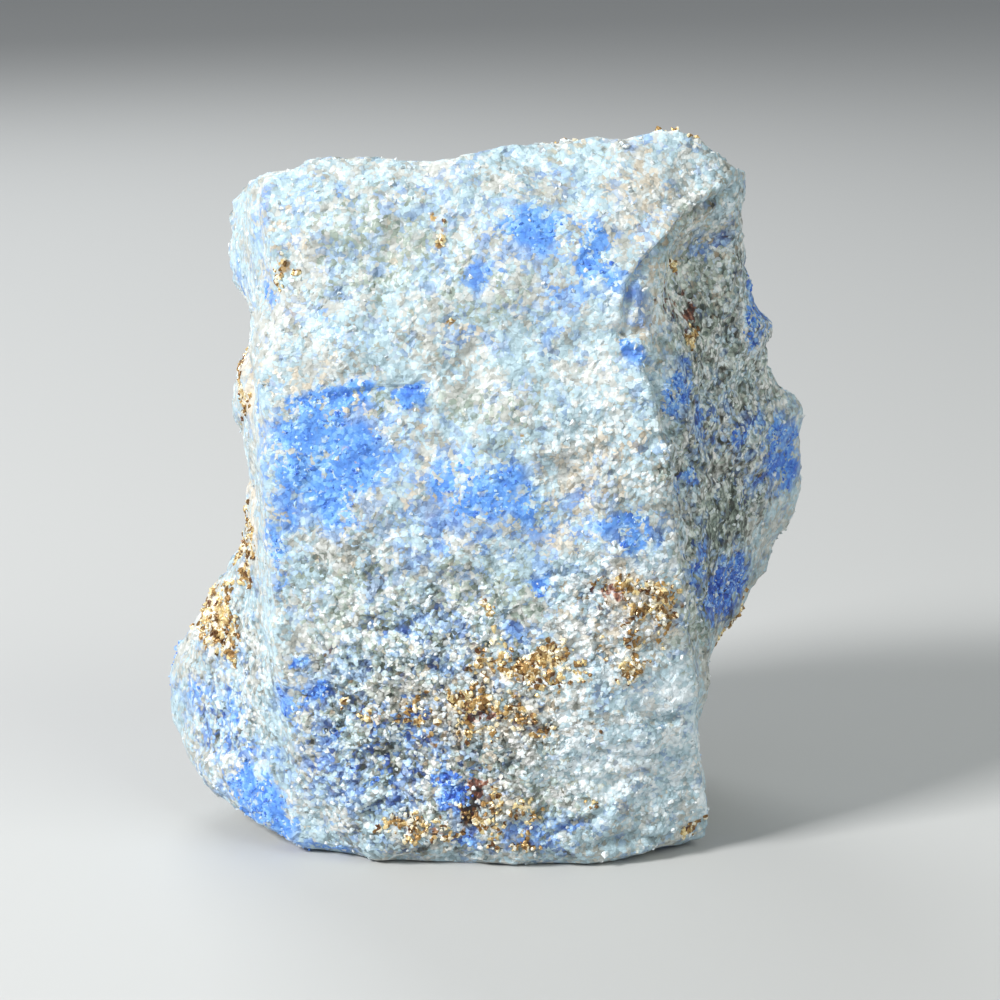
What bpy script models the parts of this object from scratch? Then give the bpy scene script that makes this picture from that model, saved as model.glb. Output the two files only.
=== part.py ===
"""Raw lapis lazuli: one broken chunk of rock that stands on a flat patch of its own underside.

Frame: metres in the scene, +Z up, the broad face looks along -Y, origin at the middle of the base.
The chunk is described by its broken edges. Each edge runs from the base up to the top rim, and the
rock between two neighbouring edges is one fracture face. Sizes below are in millimetres.
"""

import bmesh
import bpy
from mathutils import Vector, noise

MM = 0.001

# The broken edges, counter-clockwise seen from above, each from the base to the top rim: x, y, z.
EDGES = {
    "front_left_edge": [
        (-15.5, -11.5, 0), (-17.2, -13, 0.8), (-16.7, -14, 6.3), (-17.4, -14.5, 14.3),
        (-18.3, -14.5, 19.5), (-18.5, -14.5, 31), (-18.8, -13.7, 39.3), (-17.8, -13, 45.7),
        (-18, -12.5, 49.7), (-19, -11.5, 54), (-18.8, -9, 57),
    ],
    "front_corner_rib": [
        (-12, -12.8, 0), (-12.5, -14.6, 0.8), (-12.8, -15.2, 7), (-13, -15.4, 20),
        (-13.3, -15.6, 31.5), (-13.5, -14.8, 39.5), (-13.3, -14, 47), (-13.8, -12.6, 54),
        (-15.2, -9, 58),
    ],
    "front_left_rib": [
        (-8, -14, 0), (-8.5, -15.6, 0.9), (-8.5, -16, 7), (-8.3, -16, 20), (-8.2, -16.2, 31.7),
        (-8.5, -15.2, 39.7), (-8.9, -14.4, 47.6), (-9, -12.8, 54.2), (-9.3, -9, 58.2),
    ],
    "front_dip": [
        (-4, -14.5, 0), (-4, -16, 0.9), (-4, -16.2, 20), (-4.5, -16, 35), (-5, -14.6, 47.6),
        (-5.3, -12.6, 54), (-5.9, -9.3, 57.3),
    ],
    "front_middle_rib": [
        (2, -15, 0), (2, -16.6, 0.6), (2, -17, 7.4), (2, -17, 20.3), (1.5, -16.5, 32),
        (1, -16, 40), (0.5, -15, 47.7), (-0.5, -13, 54.2), (-1.5, -8.7, 59),
    ],
    "front_right_rib": [
        (9, -14.5, 0), (9.5, -16.2, 0.3), (9.7, -16.5, 7.2), (9.1, -16.6, 20), (8.2, -16.3, 31.7),
        (7.4, -15.4, 39.7), (6.2, -14.4, 46), (6.6, -13.4, 49.9), (9, -12, 54),
        (11.4, -9.5, 57.2), (14.7, -6.5, 60.5),
    ],
    "front_right_edge": [
        (15, -9.5, 0), (17.9, -11, 0.8), (18.1, -11.3, 1.6), (17.5, -12.5, 4.4),
        (17.3, -13, 5.9), (16.6, -14, 12.2), (16.6, -14.8, 17), (15.7, -15.2, 21.4),
        (14.9, -15.5, 26.6), (14, -15.5, 31.6), (13, -15.3, 36.5), (12.3, -15, 39.7),
        (10.9, -14.8, 42.1), (9.6, -14.6, 45), (10.2, -14.2, 48.4), (11.7, -12.8, 51.3),
        (14.9, -10.3, 53.7), (17.8, -7.7, 55.6), (19.8, -5, 56.6),
    ],
    "notch_rib": [
        (15.5, -6, 0), (16.9, -7, 1.5), (17, -8, 8), (17, -8.5, 14), (17, -9, 18),
        (16.9, -9.3, 24), (16.7, -9.3, 29), (16.3, -9.3, 34), (15.9, -9.6, 38),
        (13.8, -12.4, 41.8), (13.6, -12.8, 44.2), (15.5, -9.5, 45.2), (16, -9, 48),
        (17.5, -7.5, 51), (18.5, -6, 53.5), (20, -4, 56),
    ],
    "right_face_rib": [
        (14.5, -2, 0), (16, -2.5, 1.5), (16.8, -3, 8), (17.2, -3.3, 13), (17.8, -4, 17.9),
        (18.2, -4.5, 23.4), (18.6, -4.5, 28.6), (18.8, -4.5, 34.7), (19, -4, 38),
        (19.4, -3.6, 43), (19.7, -3.5, 46.4), (20, -3, 49.2), (20.1, -3, 52.6), (20.2, -2.5, 56),
    ],
    "right_edge": [
        (11.5, 7.5, 0), (13, 8, 1.5), (15.5, 7.5, 6), (18.4, 7, 10.2), (20.4, 7.5, 14.3),
        (22.7, 8, 16), (23.6, 8.5, 17.9), (25.3, 9, 20.8), (26.6, 9, 23.6), (27.3, 9, 26),
        (27, 8.5, 28.8), (26.8, 8, 31.2), (27.4, 7.5, 33.4), (26, 6.5, 34.9), (24.5, 5, 36.1),
        (23.3, 4, 37.5), (23.6, 3.5, 40.3), (22.9, 3, 43.8), (22, 2, 46.2), (21.1, 1, 48.1),
        (20.6, 0, 52.1), (20.2, -0.5, 56),
    ],
    "back_right_edge": [
        (8, 13, 0), (9.5, 14.3, 1.5), (15, 15, 12), (20, 15.5, 22), (22, 14.5, 30),
        (21, 12, 37), (18.5, 10, 44), (16.5, 7.5, 51), (15.5, 4, 58.6),
    ],
    "back_rib": [
        (-4, 15, 0), (-3.5, 16.8, 1.5), (-2, 17, 14), (1, 16.5, 27), (-0.5, 14.5, 36),
        (-1, 11, 46), (-1.5, 6.5, 53), (-1, 3.5, 55.2),
    ],
    "back_left_edge": [
        (-15, 10, 0), (-18, 12, 4), (-21.5, 12.5, 12), (-21, 12.5, 22), (-18.5, 12, 32),
        (-19, 10.5, 41), (-18.5, 7.5, 49), (-16.5, 4, 54.5),
    ],
    "left_edge": [
        (-19, 2, 0), (-23, 2, 3), (-27.8, 1, 6.5), (-29.2, 0, 9.5), (-29.1, 0, 11.5),
        (-27.1, 0, 14.8), (-24.5, -1, 19), (-22.5, -2, 22.6), (-21, -3, 25.6), (-20.9, -3, 30),
        (-22, -2, 34.1), (-22.9, -1, 35.6), (-22.3, -1, 37.8), (-21, -2, 41.4),
        (-20.2, -3, 44.2), (-22.2, -1, 46.8), (-23.1, 0, 49.1), (-22.5, 1, 53.2), (-20.8, 1, 55),
    ],
    "left_heel_rib": [
        (-18.5, -2, 0), (-27.8, -3.8, 4), (-26.8, -4, 12), (-25, -4.2, 17.5),
        (-22, -5.2, 24.5), (-20.7, -6, 30), (-21.6, -4.6, 35.5), (-21.3, -4.5, 38),
        (-20.7, -5, 42.5), (-20, -5.5, 45), (-21.5, -4, 48.9), (-21.7, -2.8, 53),
        (-20.8, -2, 55.2),
    ],
    "left_face_rib": [
        (-17.5, -6, 0), (-24.8, -8, 2.6), (-22, -8, 12), (-22, -8, 17.4), (-20.4, -8, 24.4),
        (-19.9, -9, 29.8), (-20.4, -8, 35.5), (-20.9, -7, 37.8), (-20.1, -8, 42.7),
        (-19.3, -8, 45.2), (-20.2, -7, 48.7), (-20.8, -6, 53), (-20.3, -5, 55.6),
    ],
}

BASE_MIDDLE = Vector((-2, 0, 0))
TOP_MIDDLE = Vector((9, -1.5, 58.4))    # the top falls from its front rim to here, then to the back

# Shell-shaped hollows where a flake broke off: the middle of the ball that fits each, and its radius.
SCOOPS = [
    (Vector((22.6, -11.9, 48.8)), 9.0),     # behind the upper right edge
    (Vector((14, 25, 45)), 17.0),           # high on the back, over its right edge
    (Vector((-6, 33, 12)), 17.5),           # low on the back
    (Vector((12, 33, 20)), 17.8),           # in the middle of the back
    (Vector((-31.5, 9, 18)), 9.5),          # behind the left bulge
    (Vector((-6, 1, 72)), 17.0),            # on the top, behind the dip in its front rim
]

LONGEST_SIDE = 2.6      # sides longer than this are halved
LENGTH_STEP = 0.8       # each pass halves the sides down to this share of the longest one
FACE_SMOOTHING = 6      # how often the ribs are evened out; the edges stay sharp
EDGE_WEAR = 0.3         # how far the sharp edges are blunted towards their neighbours
CHIP_SIZE, CHIP_SLOPE = 7.0, 0.2          # small flat breaks, each with a tilt of its own
TILT_SHIFTS = (Vector((7.3, 0, 0)), Vector((0, 5.1, 0)), Vector((0, 0, 9.7)))
LUMPS = [(9.0, 0.4), (4.0, 0.3), (2.2, 0.2)]   # wavelength and height of each size of lump
NOISE_PLACE = Vector((31.7, 12.4, 5.9))   # where in the endless noise this chunk lies
BASE_GAP = 0.05         # how far all else stays above the patch that the chunk stands on

LAPIS_COLOUR = (0.36, 0.45, 0.60, 1.0)
LAPIS_ROUGHNESS = 0.62


def clear_scene():
    for obj in list(bpy.data.objects):
        bpy.data.objects.remove(obj)


def draw_edges(bm):
    """The broken edges as rows of points, in order round the chunk; only real edges stay sharp."""
    rows = []
    for name, points in EDGES.items():
        row = [bm.verts.new(Vector(point)) for point in points]
        for pair in zip(row, row[1:]):
            bm.edges.new(pair).smooth = not name.endswith("_edge")
        rows.append(row)
    return rows


def draw_face(bm, row, following):
    """The triangles between two rows of points, from the base up."""
    here, there = 0, 0
    while here < len(row) - 1 or there < len(following) - 1:
        if there == len(following) - 1:
            next_is_here = True
        elif here == len(row) - 1:
            next_is_here = False
        else:
            next_is_here = row[here + 1].co.z <= following[there + 1].co.z
        corner = row[here + 1] if next_is_here else following[there + 1]
        bm.faces.new((row[here], following[there], corner))
        here += next_is_here
        there += not next_is_here


def close_chunk(bm, rows):
    """A fracture face between each two neighbouring rows, then the base and the top."""
    neighbours = list(zip(rows, rows[1:] + rows[:1]))
    for row, following in neighbours:
        draw_face(bm, row, following)
    for end, place in ((0, BASE_MIDDLE), (-1, TOP_MIDDLE)):
        middle = bm.verts.new(place)
        for row, following in neighbours:
            face = bm.faces.new((row[end], following[end], middle))
            face.edges[0].smooth = False
    bmesh.ops.recalc_face_normals(bm, faces=bm.faces)


def halve(edge):
    """A new point in the middle of a side, joined to the far corners of both its triangles."""
    was_smooth = edge.smooth
    half, middle = bmesh.utils.edge_split(edge, edge.verts[0], 0.5)
    edge.smooth = half.smooth = was_smooth
    for face in list(middle.link_faces):
        corner = next(loop for loop in face.loops if loop.vert == middle)
        far_corner = corner.link_loop_next.link_loop_next.vert
        _, cut = bmesh.utils.face_split(face, middle, far_corner)
        cut.edge.smooth = True


def refine(bm):
    """Halves the sides that are too long, the longest first, until none is left."""
    too_long = [edge for edge in bm.edges if edge.calc_length() > LONGEST_SIDE]
    while too_long:
        longest = max(edge.calc_length() for edge in too_long)
        for edge in too_long:
            if edge.calc_length() > longest * LENGTH_STEP:
                halve(edge)
        too_long = [edge for edge in bm.edges if edge.calc_length() > LONGEST_SIDE]


def smooth(bm, verts, factor):
    bmesh.ops.smooth_vert(
        bm, verts=verts, factor=factor, use_axis_x=True, use_axis_y=True, use_axis_z=True
    )


def even_out_faces(bm):
    """Smooths the ribs away. The edges, the top's rim and the base keep their places but for wear."""
    inner = [vert for vert in bm.verts if all(edge.smooth for edge in vert.link_edges)]
    for _ in range(FACE_SMOOTHING):
        smooth(bm, inner, 0.5)
    smooth(bm, [vert for vert in bm.verts if vert.co.z > 0], EDGE_WEAR)


def scoop(place):
    """The place, pushed out of every hollow's ball that it lies in."""
    for middle, radius in SCOOPS:
        offset = place - middle
        if offset.length < radius:
            place = middle + offset.normalized() * radius
    return place


def chip_height(place):
    """Each cell of the pattern is a plane with a tilt of its own, so cells meet in small steps."""
    feature = noise.voronoi(place / CHIP_SIZE)[1][0]
    tilt = Vector(noise.noise(feature + shift) for shift in TILT_SHIFTS)
    return CHIP_SLOPE * tilt.dot(place - feature * CHIP_SIZE)


def roughen(bm):
    """Hollows, chips and lumps. The rim of the patch that the chunk stands on stays flat."""
    for vert in bm.verts:
        vert.co = scoop(vert.co)
    bm.normal_update()
    moves = {}
    for vert in bm.verts:
        rise = chip_height(vert.co) + sum(
            height * noise.noise(vert.co / wavelength + NOISE_PLACE)
            for wavelength, height in LUMPS
        )
        moves[vert] = vert.normal * rise
    for vert, move in moves.items():
        if vert.co.z > 0:
            vert.co += move
            vert.co.z = max(vert.co.z, BASE_GAP)


def lapis_material():
    material = bpy.data.materials.new("lapis_lazuli")
    material.use_nodes = True
    shader = material.node_tree.nodes["Principled BSDF"]
    shader.inputs["Base Color"].default_value = LAPIS_COLOUR
    shader.inputs["Roughness"].default_value = LAPIS_ROUGHNESS
    shader.inputs["Metallic"].default_value = 0.0
    return material


def lapis_chunk():
    bm = bmesh.new()
    close_chunk(bm, draw_edges(bm))
    refine(bm)
    even_out_faces(bm)
    roughen(bm)
    bmesh.ops.scale(bm, vec=(MM, MM, MM), verts=bm.verts)
    mesh = bpy.data.meshes.new("lapis_chunk")
    bm.to_mesh(mesh)
    bm.free()
    mesh.materials.append(lapis_material())
    chunk = bpy.data.objects.new("lapis_chunk", mesh)
    bpy.context.scene.collection.objects.link(chunk)
    return chunk


clear_scene()
lapis_chunk()
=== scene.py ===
"""One raw lapis lazuli chunk: its granular rock skin and the crystals that stand out of it.

Frame: metres, +Z up, the broad face looks along -Y. Values whose names end in _mm are millimetres.

Each mineral patch on the seen sides is named by its place in the camera's 1000 by 1000 pixel
picture. It becomes a soft blob of that mineral around the spot of rock that the pixel meets, so
it has a thickness of its own and runs on round the corners. The unseen sides get patches of the
same sizes from noise.
"""

from __future__ import annotations

import logging
import math
from dataclasses import dataclass, field
from enum import Enum

import bmesh
import bpy
import numpy as np
from mathutils import Euler, Matrix, Vector, noise
from mathutils.bvhtree import BVHTree

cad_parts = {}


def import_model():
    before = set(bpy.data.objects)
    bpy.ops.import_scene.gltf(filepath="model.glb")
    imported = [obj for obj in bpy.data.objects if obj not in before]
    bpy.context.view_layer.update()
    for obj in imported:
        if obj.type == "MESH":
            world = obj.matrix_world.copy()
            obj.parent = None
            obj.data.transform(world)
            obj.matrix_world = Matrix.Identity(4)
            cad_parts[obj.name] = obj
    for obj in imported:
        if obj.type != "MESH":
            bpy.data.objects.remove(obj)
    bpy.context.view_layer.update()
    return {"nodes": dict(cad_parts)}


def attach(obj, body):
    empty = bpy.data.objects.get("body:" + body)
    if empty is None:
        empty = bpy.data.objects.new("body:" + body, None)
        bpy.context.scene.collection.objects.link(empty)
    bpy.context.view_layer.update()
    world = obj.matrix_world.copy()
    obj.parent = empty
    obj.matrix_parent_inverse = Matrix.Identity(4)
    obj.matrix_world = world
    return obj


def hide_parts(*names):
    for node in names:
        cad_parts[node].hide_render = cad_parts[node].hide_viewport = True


LOG = logging.getLogger("lapis")
MM = 0.001
PICTURE_PX = 1000.0
PX_PER_MM = 12.4
CHUNK_NODE = "lapis_chunk"
# Keeps a noise's shift off its own diagonal.
SHIFT_SKEW = 0.7

Pair = tuple[float, float]
Colour = tuple[float, float, float]
Ramp = tuple[tuple[float, Colour], ...]
Socket = bpy.types.NodeSocket
# The middle of the random colours that a noise or a grain texture gives.
MIDDLE_COLOUR: Colour = (0.5, 0.5, 0.5)
# The Mix node's sockets for colours, by their place.
MIX_INPUTS = (6, 7)
MIX_RESULT = 2


class Mineral(Enum):
    """What a patch of the rock is made of. Each one is a point attribute of the skin.

    Grit isn't a mineral of its own but a coarse, loose grain of the ones around it, and stain is
    mostly painted shade: the dark that cracks, low ledges, the bottom edge and the right face that
    turns from the light hold, with a little real dark stain.
    """

    LAZURITE = "lazurite"
    PYRITE = "pyrite"
    RUST = "rust"
    BUFF = "buff"
    CALCITE = "calcite"
    DIOPSIDE = "diopside"
    GRIT = "grit"
    SHADE_AND_STAIN = "painted_shade_and_stain"


@dataclass(frozen=True)
class Patch:
    """A mineral patch, as seen from the camera.

    x and y are its middle in pixels, and half_width and half_height its size in pixels, before it
    is turned by turn_deg, counter-clockwise. strength is how much of the mineral it holds at its
    middle, and deep_mm is half its size along the line of sight.
    """

    x: float
    y: float
    half_width: float
    half_height: float
    strength: float = 1.0
    turn_deg: float = 0.0
    deep_mm: float = 4.0


PATCHES: dict[Mineral, tuple[Patch, ...]] = {
    Mineral.LAZURITE: (
        # The main patch on the front, with its straight top edge.
        Patch(334, 455, 70, 50, 1.0),
        Patch(322, 486, 46, 42, 1.0),
        Patch(326, 412, 44, 20, 1.0, 8),
        Patch(372, 397, 34, 9, 0.9, 6),
        Patch(406, 402, 18, 17, 1.1),
        Patch(470, 486, 48, 34, 0.9),
        Patch(528, 516, 38, 28, 0.8),
        Patch(632, 530, 36, 28, 0.75),
        Patch(590, 498, 30, 20, 0.45),
        # High on the front.
        Patch(530, 232, 40, 26, 0.85, 15),
        Patch(594, 252, 52, 24, 0.85, -20),
        Patch(484, 266, 30, 20, 0.6),
        Patch(562, 286, 44, 28, 0.55),
        Patch(560, 248, 88, 36, 0.5, -12),
        Patch(326, 322, 22, 28, 0.5),
        Patch(465, 340, 30, 12, 0.45),
        Patch(412, 190, 18, 10, 0.45),
        Patch(563, 326, 15, 20, 0.55),
        Patch(540, 165, 22, 12, 0.4),
        Patch(640, 150, 26, 12, 0.4),
        Patch(330, 190, 34, 18, 0.4),
        # Down the left edge, and the left face.
        Patch(238, 272, 11, 24, 0.7),
        Patch(268, 282, 15, 24, 0.6),
        Patch(262, 215, 14, 30, 0.45),
        Patch(281, 520, 15, 92, 0.7),
        Patch(262, 420, 9, 60, 0.5),
        Patch(262, 812, 46, 34, 1.0, -42),
        Patch(192, 698, 12, 22, 0.65),
        Patch(236, 716, 18, 28, 0.65),
        Patch(262, 750, 22, 14, 0.65),
        Patch(292, 662, 10, 10, 0.9),
        Patch(292, 700, 20, 34, 0.6),
        # Low on the front.
        Patch(318, 692, 18, 12, 0.8),
        Patch(408, 712, 20, 28, 0.8),
        Patch(352, 742, 30, 24, 0.55),
        Patch(455, 790, 20, 34, 0.7),
        Patch(380, 790, 22, 26, 0.6),
        Patch(330, 846, 32, 10, 0.75),
        Patch(465, 842, 38, 9, 0.65),
        Patch(572, 820, 22, 12, 0.55),
        Patch(552, 587, 12, 9, 0.95),
        Patch(520, 628, 26, 16, 0.5),
        Patch(402, 640, 30, 14, 0.5),
        Patch(370, 760, 90, 90, 0.5),
        Patch(430, 640, 120, 60, 0.38),
        Patch(560, 540, 130, 44, 0.42),
        Patch(470, 520, 90, 60, 0.5),
        Patch(230, 730, 60, 90, 0.5),
        Patch(500, 840, 90, 26, 0.5),
        Patch(440, 230, 190, 90, 0.24),
        # The right face.
        Patch(635, 350, 15, 20, 0.85, 0, 6),
        Patch(680, 388, 30, 20, 0.85, -35, 7),
        Patch(706, 422, 24, 34, 0.6, -15, 7),
        Patch(742, 430, 34, 26, 0.65, 0, 7),
        Patch(780, 450, 28, 56, 0.75, 0, 7),
        Patch(756, 478, 24, 24, 0.5, 0, 7),
        Patch(752, 310, 14, 40, 0.75, 0, 7),
        Patch(706, 240, 14, 12, 0.5, 0, 6),
        Patch(636, 300, 10, 16, 0.5, 0, 5),
        Patch(722, 588, 46, 38, 0.8, 0, 9),
        Patch(702, 560, 16, 30, 0.7, 0, 8),
        Patch(684, 484, 18, 12, 0.7, 0, 6),
    ),
    Mineral.PYRITE: (
        Patch(640, 622, 50, 52, 0.32),
        Patch(656, 600, 28, 24, 0.8),
        Patch(612, 586, 20, 9, 0.75),
        Patch(542, 664, 34, 19, 1.25, 8),
        Patch(634, 672, 20, 13, 1.0, 25),
        Patch(492, 650, 13, 14, 0.95),
        Patch(472, 692, 22, 18, 0.85, -30),
        Patch(488, 607, 8, 9, 0.95),
        Patch(512, 714, 30, 10, 0.45, -15),
        Patch(448, 720, 96, 44, 0.24),
        Patch(536, 736, 18, 13, 0.6),
        Patch(424, 834, 44, 12, 0.7),
        Patch(505, 815, 50, 32, 0.4),
        Patch(520, 854, 30, 7, 0.6),
        Patch(437, 228, 9, 7, 0.7),
        Patch(283, 272, 10, 16, 0.5),
        Patch(460, 325, 5, 5, 0.6),
        Patch(530, 443, 5, 5, 0.5),
        Patch(600, 730, 9, 5, 0.5),
        Patch(598, 795, 8, 5, 0.6),
        Patch(690, 824, 8, 7, 0.85),
        Patch(216, 622, 26, 36, 0.95, 20),
        Patch(243, 552, 12, 34, 0.8),
        Patch(248, 470, 8, 48, 0.75),
        Patch(242, 395, 9, 44, 0.65),
        Patch(352, 700, 14, 9, 0.4),
        Patch(322, 660, 12, 30, 0.2),
        Patch(690, 344, 9, 6, 0.8, 0, 5),
        Patch(675, 262, 6, 6, 0.7, 0, 5),
    ),
    Mineral.RUST: (
        Patch(470, 797, 9, 26, 1.4),
        Patch(478, 716, 18, 10, 0.9),
        Patch(556, 672, 12, 18, 0.8),
        Patch(606, 598, 12, 12, 0.8),
        Patch(420, 834, 22, 10, 0.7),
        Patch(520, 854, 20, 7, 0.7),
        Patch(686, 318, 17, 10, 1.2, 0, 6),
        Patch(688, 341, 9, 6, 0.9, 0, 6),
        Patch(730, 258, 6, 9, 0.9, 0, 6),
        Patch(668, 292, 30, 26, 0.45, 0, 6),
        Patch(690, 824, 9, 8, 0.7),
        Patch(430, 720, 90, 40, 0.3),
        Patch(648, 592, 30, 20, 0.35),
    ),
    Mineral.BUFF: (
        Patch(645, 196, 46, 42, 0.55),
        Patch(592, 470, 46, 30, 0.6),
        Patch(556, 540, 30, 22, 0.7),
        Patch(300, 380, 32, 14, 0.45),
        Patch(425, 500, 16, 30, 0.55),
        Patch(615, 430, 30, 16, 0.45),
        Patch(350, 560, 24, 20, 0.35),
        Patch(243, 385, 10, 46, 1.1),
        Patch(250, 520, 12, 40, 0.9),
        Patch(460, 335, 26, 16, 0.35),
        Patch(480, 710, 110, 56, 0.5),
        Patch(480, 800, 70, 40, 0.45),
        Patch(632, 618, 60, 54, 0.7),
        Patch(560, 770, 40, 30, 0.2),
        Patch(205, 640, 26, 40, 0.4),
        Patch(362, 418, 18, 12, 0.7),
        Patch(412, 432, 14, 14, 0.6),
        Patch(246, 460, 14, 100, 0.6),
        Patch(290, 230, 20, 30, 0.4),
        Patch(650, 300, 24, 40, 0.45, 0, 6),
        Patch(700, 250, 50, 60, 0.35, 0, 8),
    ),
    Mineral.CALCITE: (
        Patch(614, 296, 24, 36, 0.8),
        Patch(574, 762, 36, 28, 1.4),
        Patch(570, 715, 16, 12, 1.0),
        Patch(340, 803, 20, 12, 1.0),
        Patch(570, 150, 110, 12, 0.25),
        Patch(600, 390, 62, 56, 0.5),
        Patch(450, 170, 80, 14, 0.2),
        Patch(225, 570, 18, 44, 0.35),
        Patch(250, 300, 14, 40, 0.4),
        Patch(430, 395, 12, 26, 0.5),
        Patch(560, 640, 14, 10, 0.5),
        Patch(664, 710, 52, 40, 1.1),
        Patch(646, 770, 70, 60, 1.1),
        Patch(630, 620, 70, 64, 0.9),
        Patch(650, 180, 60, 50, 0.3),
        Patch(665, 300, 30, 40, 0.9, 0, 6),
        Patch(700, 260, 40, 50, 0.7, 0, 8),
        Patch(420, 660, 14, 12, 0.5),
        Patch(300, 820, 12, 20, 0.4),
        Patch(698, 770, 10, 80, 0.9),
    ),
    Mineral.DIOPSIDE: (
        Patch(372, 250, 76, 52, 0.5),
        Patch(470, 290, 40, 50, 0.35),
        Patch(370, 412, 26, 14, 0.6),
        Patch(480, 590, 70, 40, 0.5),
        Patch(350, 600, 52, 50, 0.5),
        Patch(400, 690, 110, 90, 0.4),
        Patch(480, 420, 60, 26, 0.4),
        Patch(722, 522, 62, 40, 1.0, 0, 12),
        Patch(694, 280, 50, 80, 0.75, 0, 12),
        Patch(720, 420, 80, 80, 0.5, 0, 14),
        Patch(700, 600, 40, 60, 0.7, 0, 10),
        Patch(500, 660, 60, 60, 0.3),
        Patch(480, 790, 110, 60, 0.5),
    ),
    Mineral.GRIT: (
        Patch(440, 730, 140, 140, 1.0, 0, 9),
        Patch(620, 620, 66, 62, 0.8, 0, 6),
        Patch(540, 800, 60, 60, 0.7, 0, 6),
        Patch(400, 570, 110, 50, 0.3, 0, 6),
        Patch(230, 690, 60, 110, 0.6, 0, 8),
        Patch(720, 420, 80, 220, 1.0, 0, 16),
        Patch(600, 460, 60, 50, 0.35, 0, 6),
        Patch(655, 780, 50, 80, 0.4, 0, 6),
        Patch(243, 470, 16, 110, 0.7, 0, 4),
    ),
    # Painted shade, with a little real dark stain: crevices, the shaded bottom edge, the right face
    # that turns from the light, and the recess high on the right.
    Mineral.SHADE_AND_STAIN: (
        Patch(470, 797, 11, 28, 1.1),
        Patch(470, 852, 130, 14, 0.6),
        Patch(370, 750, 80, 70, 0.4),
        Patch(470, 725, 64, 44, 0.45),
        Patch(560, 745, 20, 30, 0.4, 30),
        Patch(640, 740, 50, 8, 0.4, 8),
        Patch(640, 815, 60, 9, 0.5, 14),
        Patch(600, 845, 60, 12, 0.5, 10),
        Patch(262, 835, 50, 16, 0.4, -42),
        Patch(722, 590, 44, 44, 0.9, 0, 10),
        Patch(730, 525, 54, 30, 0.4, 0, 12),
        Patch(775, 470, 30, 34, 0.3, 0, 12),
        Patch(690, 320, 20, 14, 0.5, 0, 6),
        Patch(733, 262, 8, 24, 0.6, 0, 6),
        Patch(655, 275, 10, 30, 0.4, -30, 4),
    ),
}


@dataclass(frozen=True)
class HiddenPatches:
    """How one mineral lies on the sides that the camera doesn't see.

    shift picks the noise, a patch fades in where the noise rises from low to high, and strength is
    how much of the mineral the patch holds at its middle.
    """

    shift: float
    low: float
    high: float
    strength: float


HIDDEN: dict[Mineral, HiddenPatches] = {
    Mineral.LAZURITE: HiddenPatches(31.7, 0.0, 0.6, 0.9),
    Mineral.PYRITE: HiddenPatches(37.0, 0.25, 0.6, 0.75),
    Mineral.RUST: HiddenPatches(37.0, 0.4, 0.7, 0.5),
    Mineral.BUFF: HiddenPatches(47.6, 0.1, 0.5, 0.5),
    Mineral.CALCITE: HiddenPatches(52.9, 0.0, 0.5, 0.7),
    Mineral.DIOPSIDE: HiddenPatches(58.2, 0.0, 0.5, 0.6),
    Mineral.GRIT: HiddenPatches(63.5, -0.2, 0.4, 0.9),
    Mineral.SHADE_AND_STAIN: HiddenPatches(68.8, 0.0, 0.6, 0.4),
}


@dataclass(frozen=True)
class Crack:
    """A line where the rock steps or splits, through pixels of the camera's picture.

    A depth below 0 raises the rock there, into a crest.
    """

    pixels: tuple[Pair, ...]
    depth_mm: float
    width_mm: float


CRACKS: tuple[Crack, ...] = (
    Crack(((636, 708), (655, 722), (676, 719), (703, 723)), 0.75, 0.42),
    Crack(((560, 775), (600, 782), (640, 774), (690, 786)), 0.22, 0.35),
    Crack(((733, 191), (703, 207), (674, 233), (650, 260), (631, 285), (624, 334)), 0.6, 0.4),
    Crack(((616, 333), (624, 336), (640, 330)), 0.5, 0.35),
    Crack(((648, 362), (666, 420), (679, 480), (689, 530), (697, 585), (704, 640)), 0.45, 0.4),
    Crack(((638, 366), (656, 420), (669, 480), (679, 530), (687, 585), (694, 640)), -0.35, 0.5),
    Crack(((600, 648), (640, 655), (668, 640)), 0.25, 0.35),
    Crack(((300, 402), (345, 396), (385, 389), (424, 388)), 0.25, 0.3),
    Crack(((545, 838), (600, 812), (660, 792), (700, 770)), 0.3, 0.35),
    Crack(((600, 752), (632, 760), (668, 752), (698, 757)), 0.25, 0.35),
    Crack(((585, 850), (630, 836), (672, 838), (706, 822)), 0.3, 0.4),
    Crack(((300, 760), (360, 752), (430, 766)), 0.2, 0.4),
    Crack(((700, 250), (712, 300), (735, 340)), 0.35, 0.4),
    Crack(((668, 430), (700, 470), (740, 480), (790, 470)), 0.3, 0.4),
)


def steps(values: np.ndarray, low: float, high: float) -> np.ndarray:
    """Smooth steps from 0 at low to 1 at high.

    Args:
        values: The values to sort.
        low: The value that gives 0. It may be the larger one.
        high: The value that gives 1.

    Returns:
        One number from 0 to 1 for each value.
    """
    share = np.clip((values - low) / (high - low), 0.0, 1.0)
    return share * share * (3.0 - 2.0 * share)


def noise_at(places_mm: np.ndarray, size_mm: float, shift: float = 0.0) -> np.ndarray:
    """Smooth noise, from about -1 to 1.

    Args:
        places_mm: Points, one in each row.
        size_mm: The size of the noise's lumps.
        shift: Where in the endless noise to read, so that two reads differ.

    Returns:
        One number for each point.
    """
    offset = Vector((shift, shift * SHIFT_SKEW, -shift))
    return np.array([noise.noise(Vector(place) / size_mm + offset) for place in places_mm])


def points_of(mesh: bpy.types.Mesh) -> tuple[np.ndarray, np.ndarray]:
    """A mesh's points and the normals there, one in each row, in metres."""
    places = np.empty(len(mesh.vertices) * 3)
    mesh.vertices.foreach_get("co", places)
    normals = np.empty(len(mesh.vertices) * 3)
    mesh.vertex_normals.foreach_get("vector", normals)
    return places.reshape(-1, 3), normals.reshape(-1, 3)


def values_of(mesh: bpy.types.Mesh, name: str) -> np.ndarray:
    """A mesh's point attribute, one number for each point."""
    values = np.empty(len(mesh.vertices))
    mesh.attributes[name].data.foreach_get("value", values)
    return values


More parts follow.
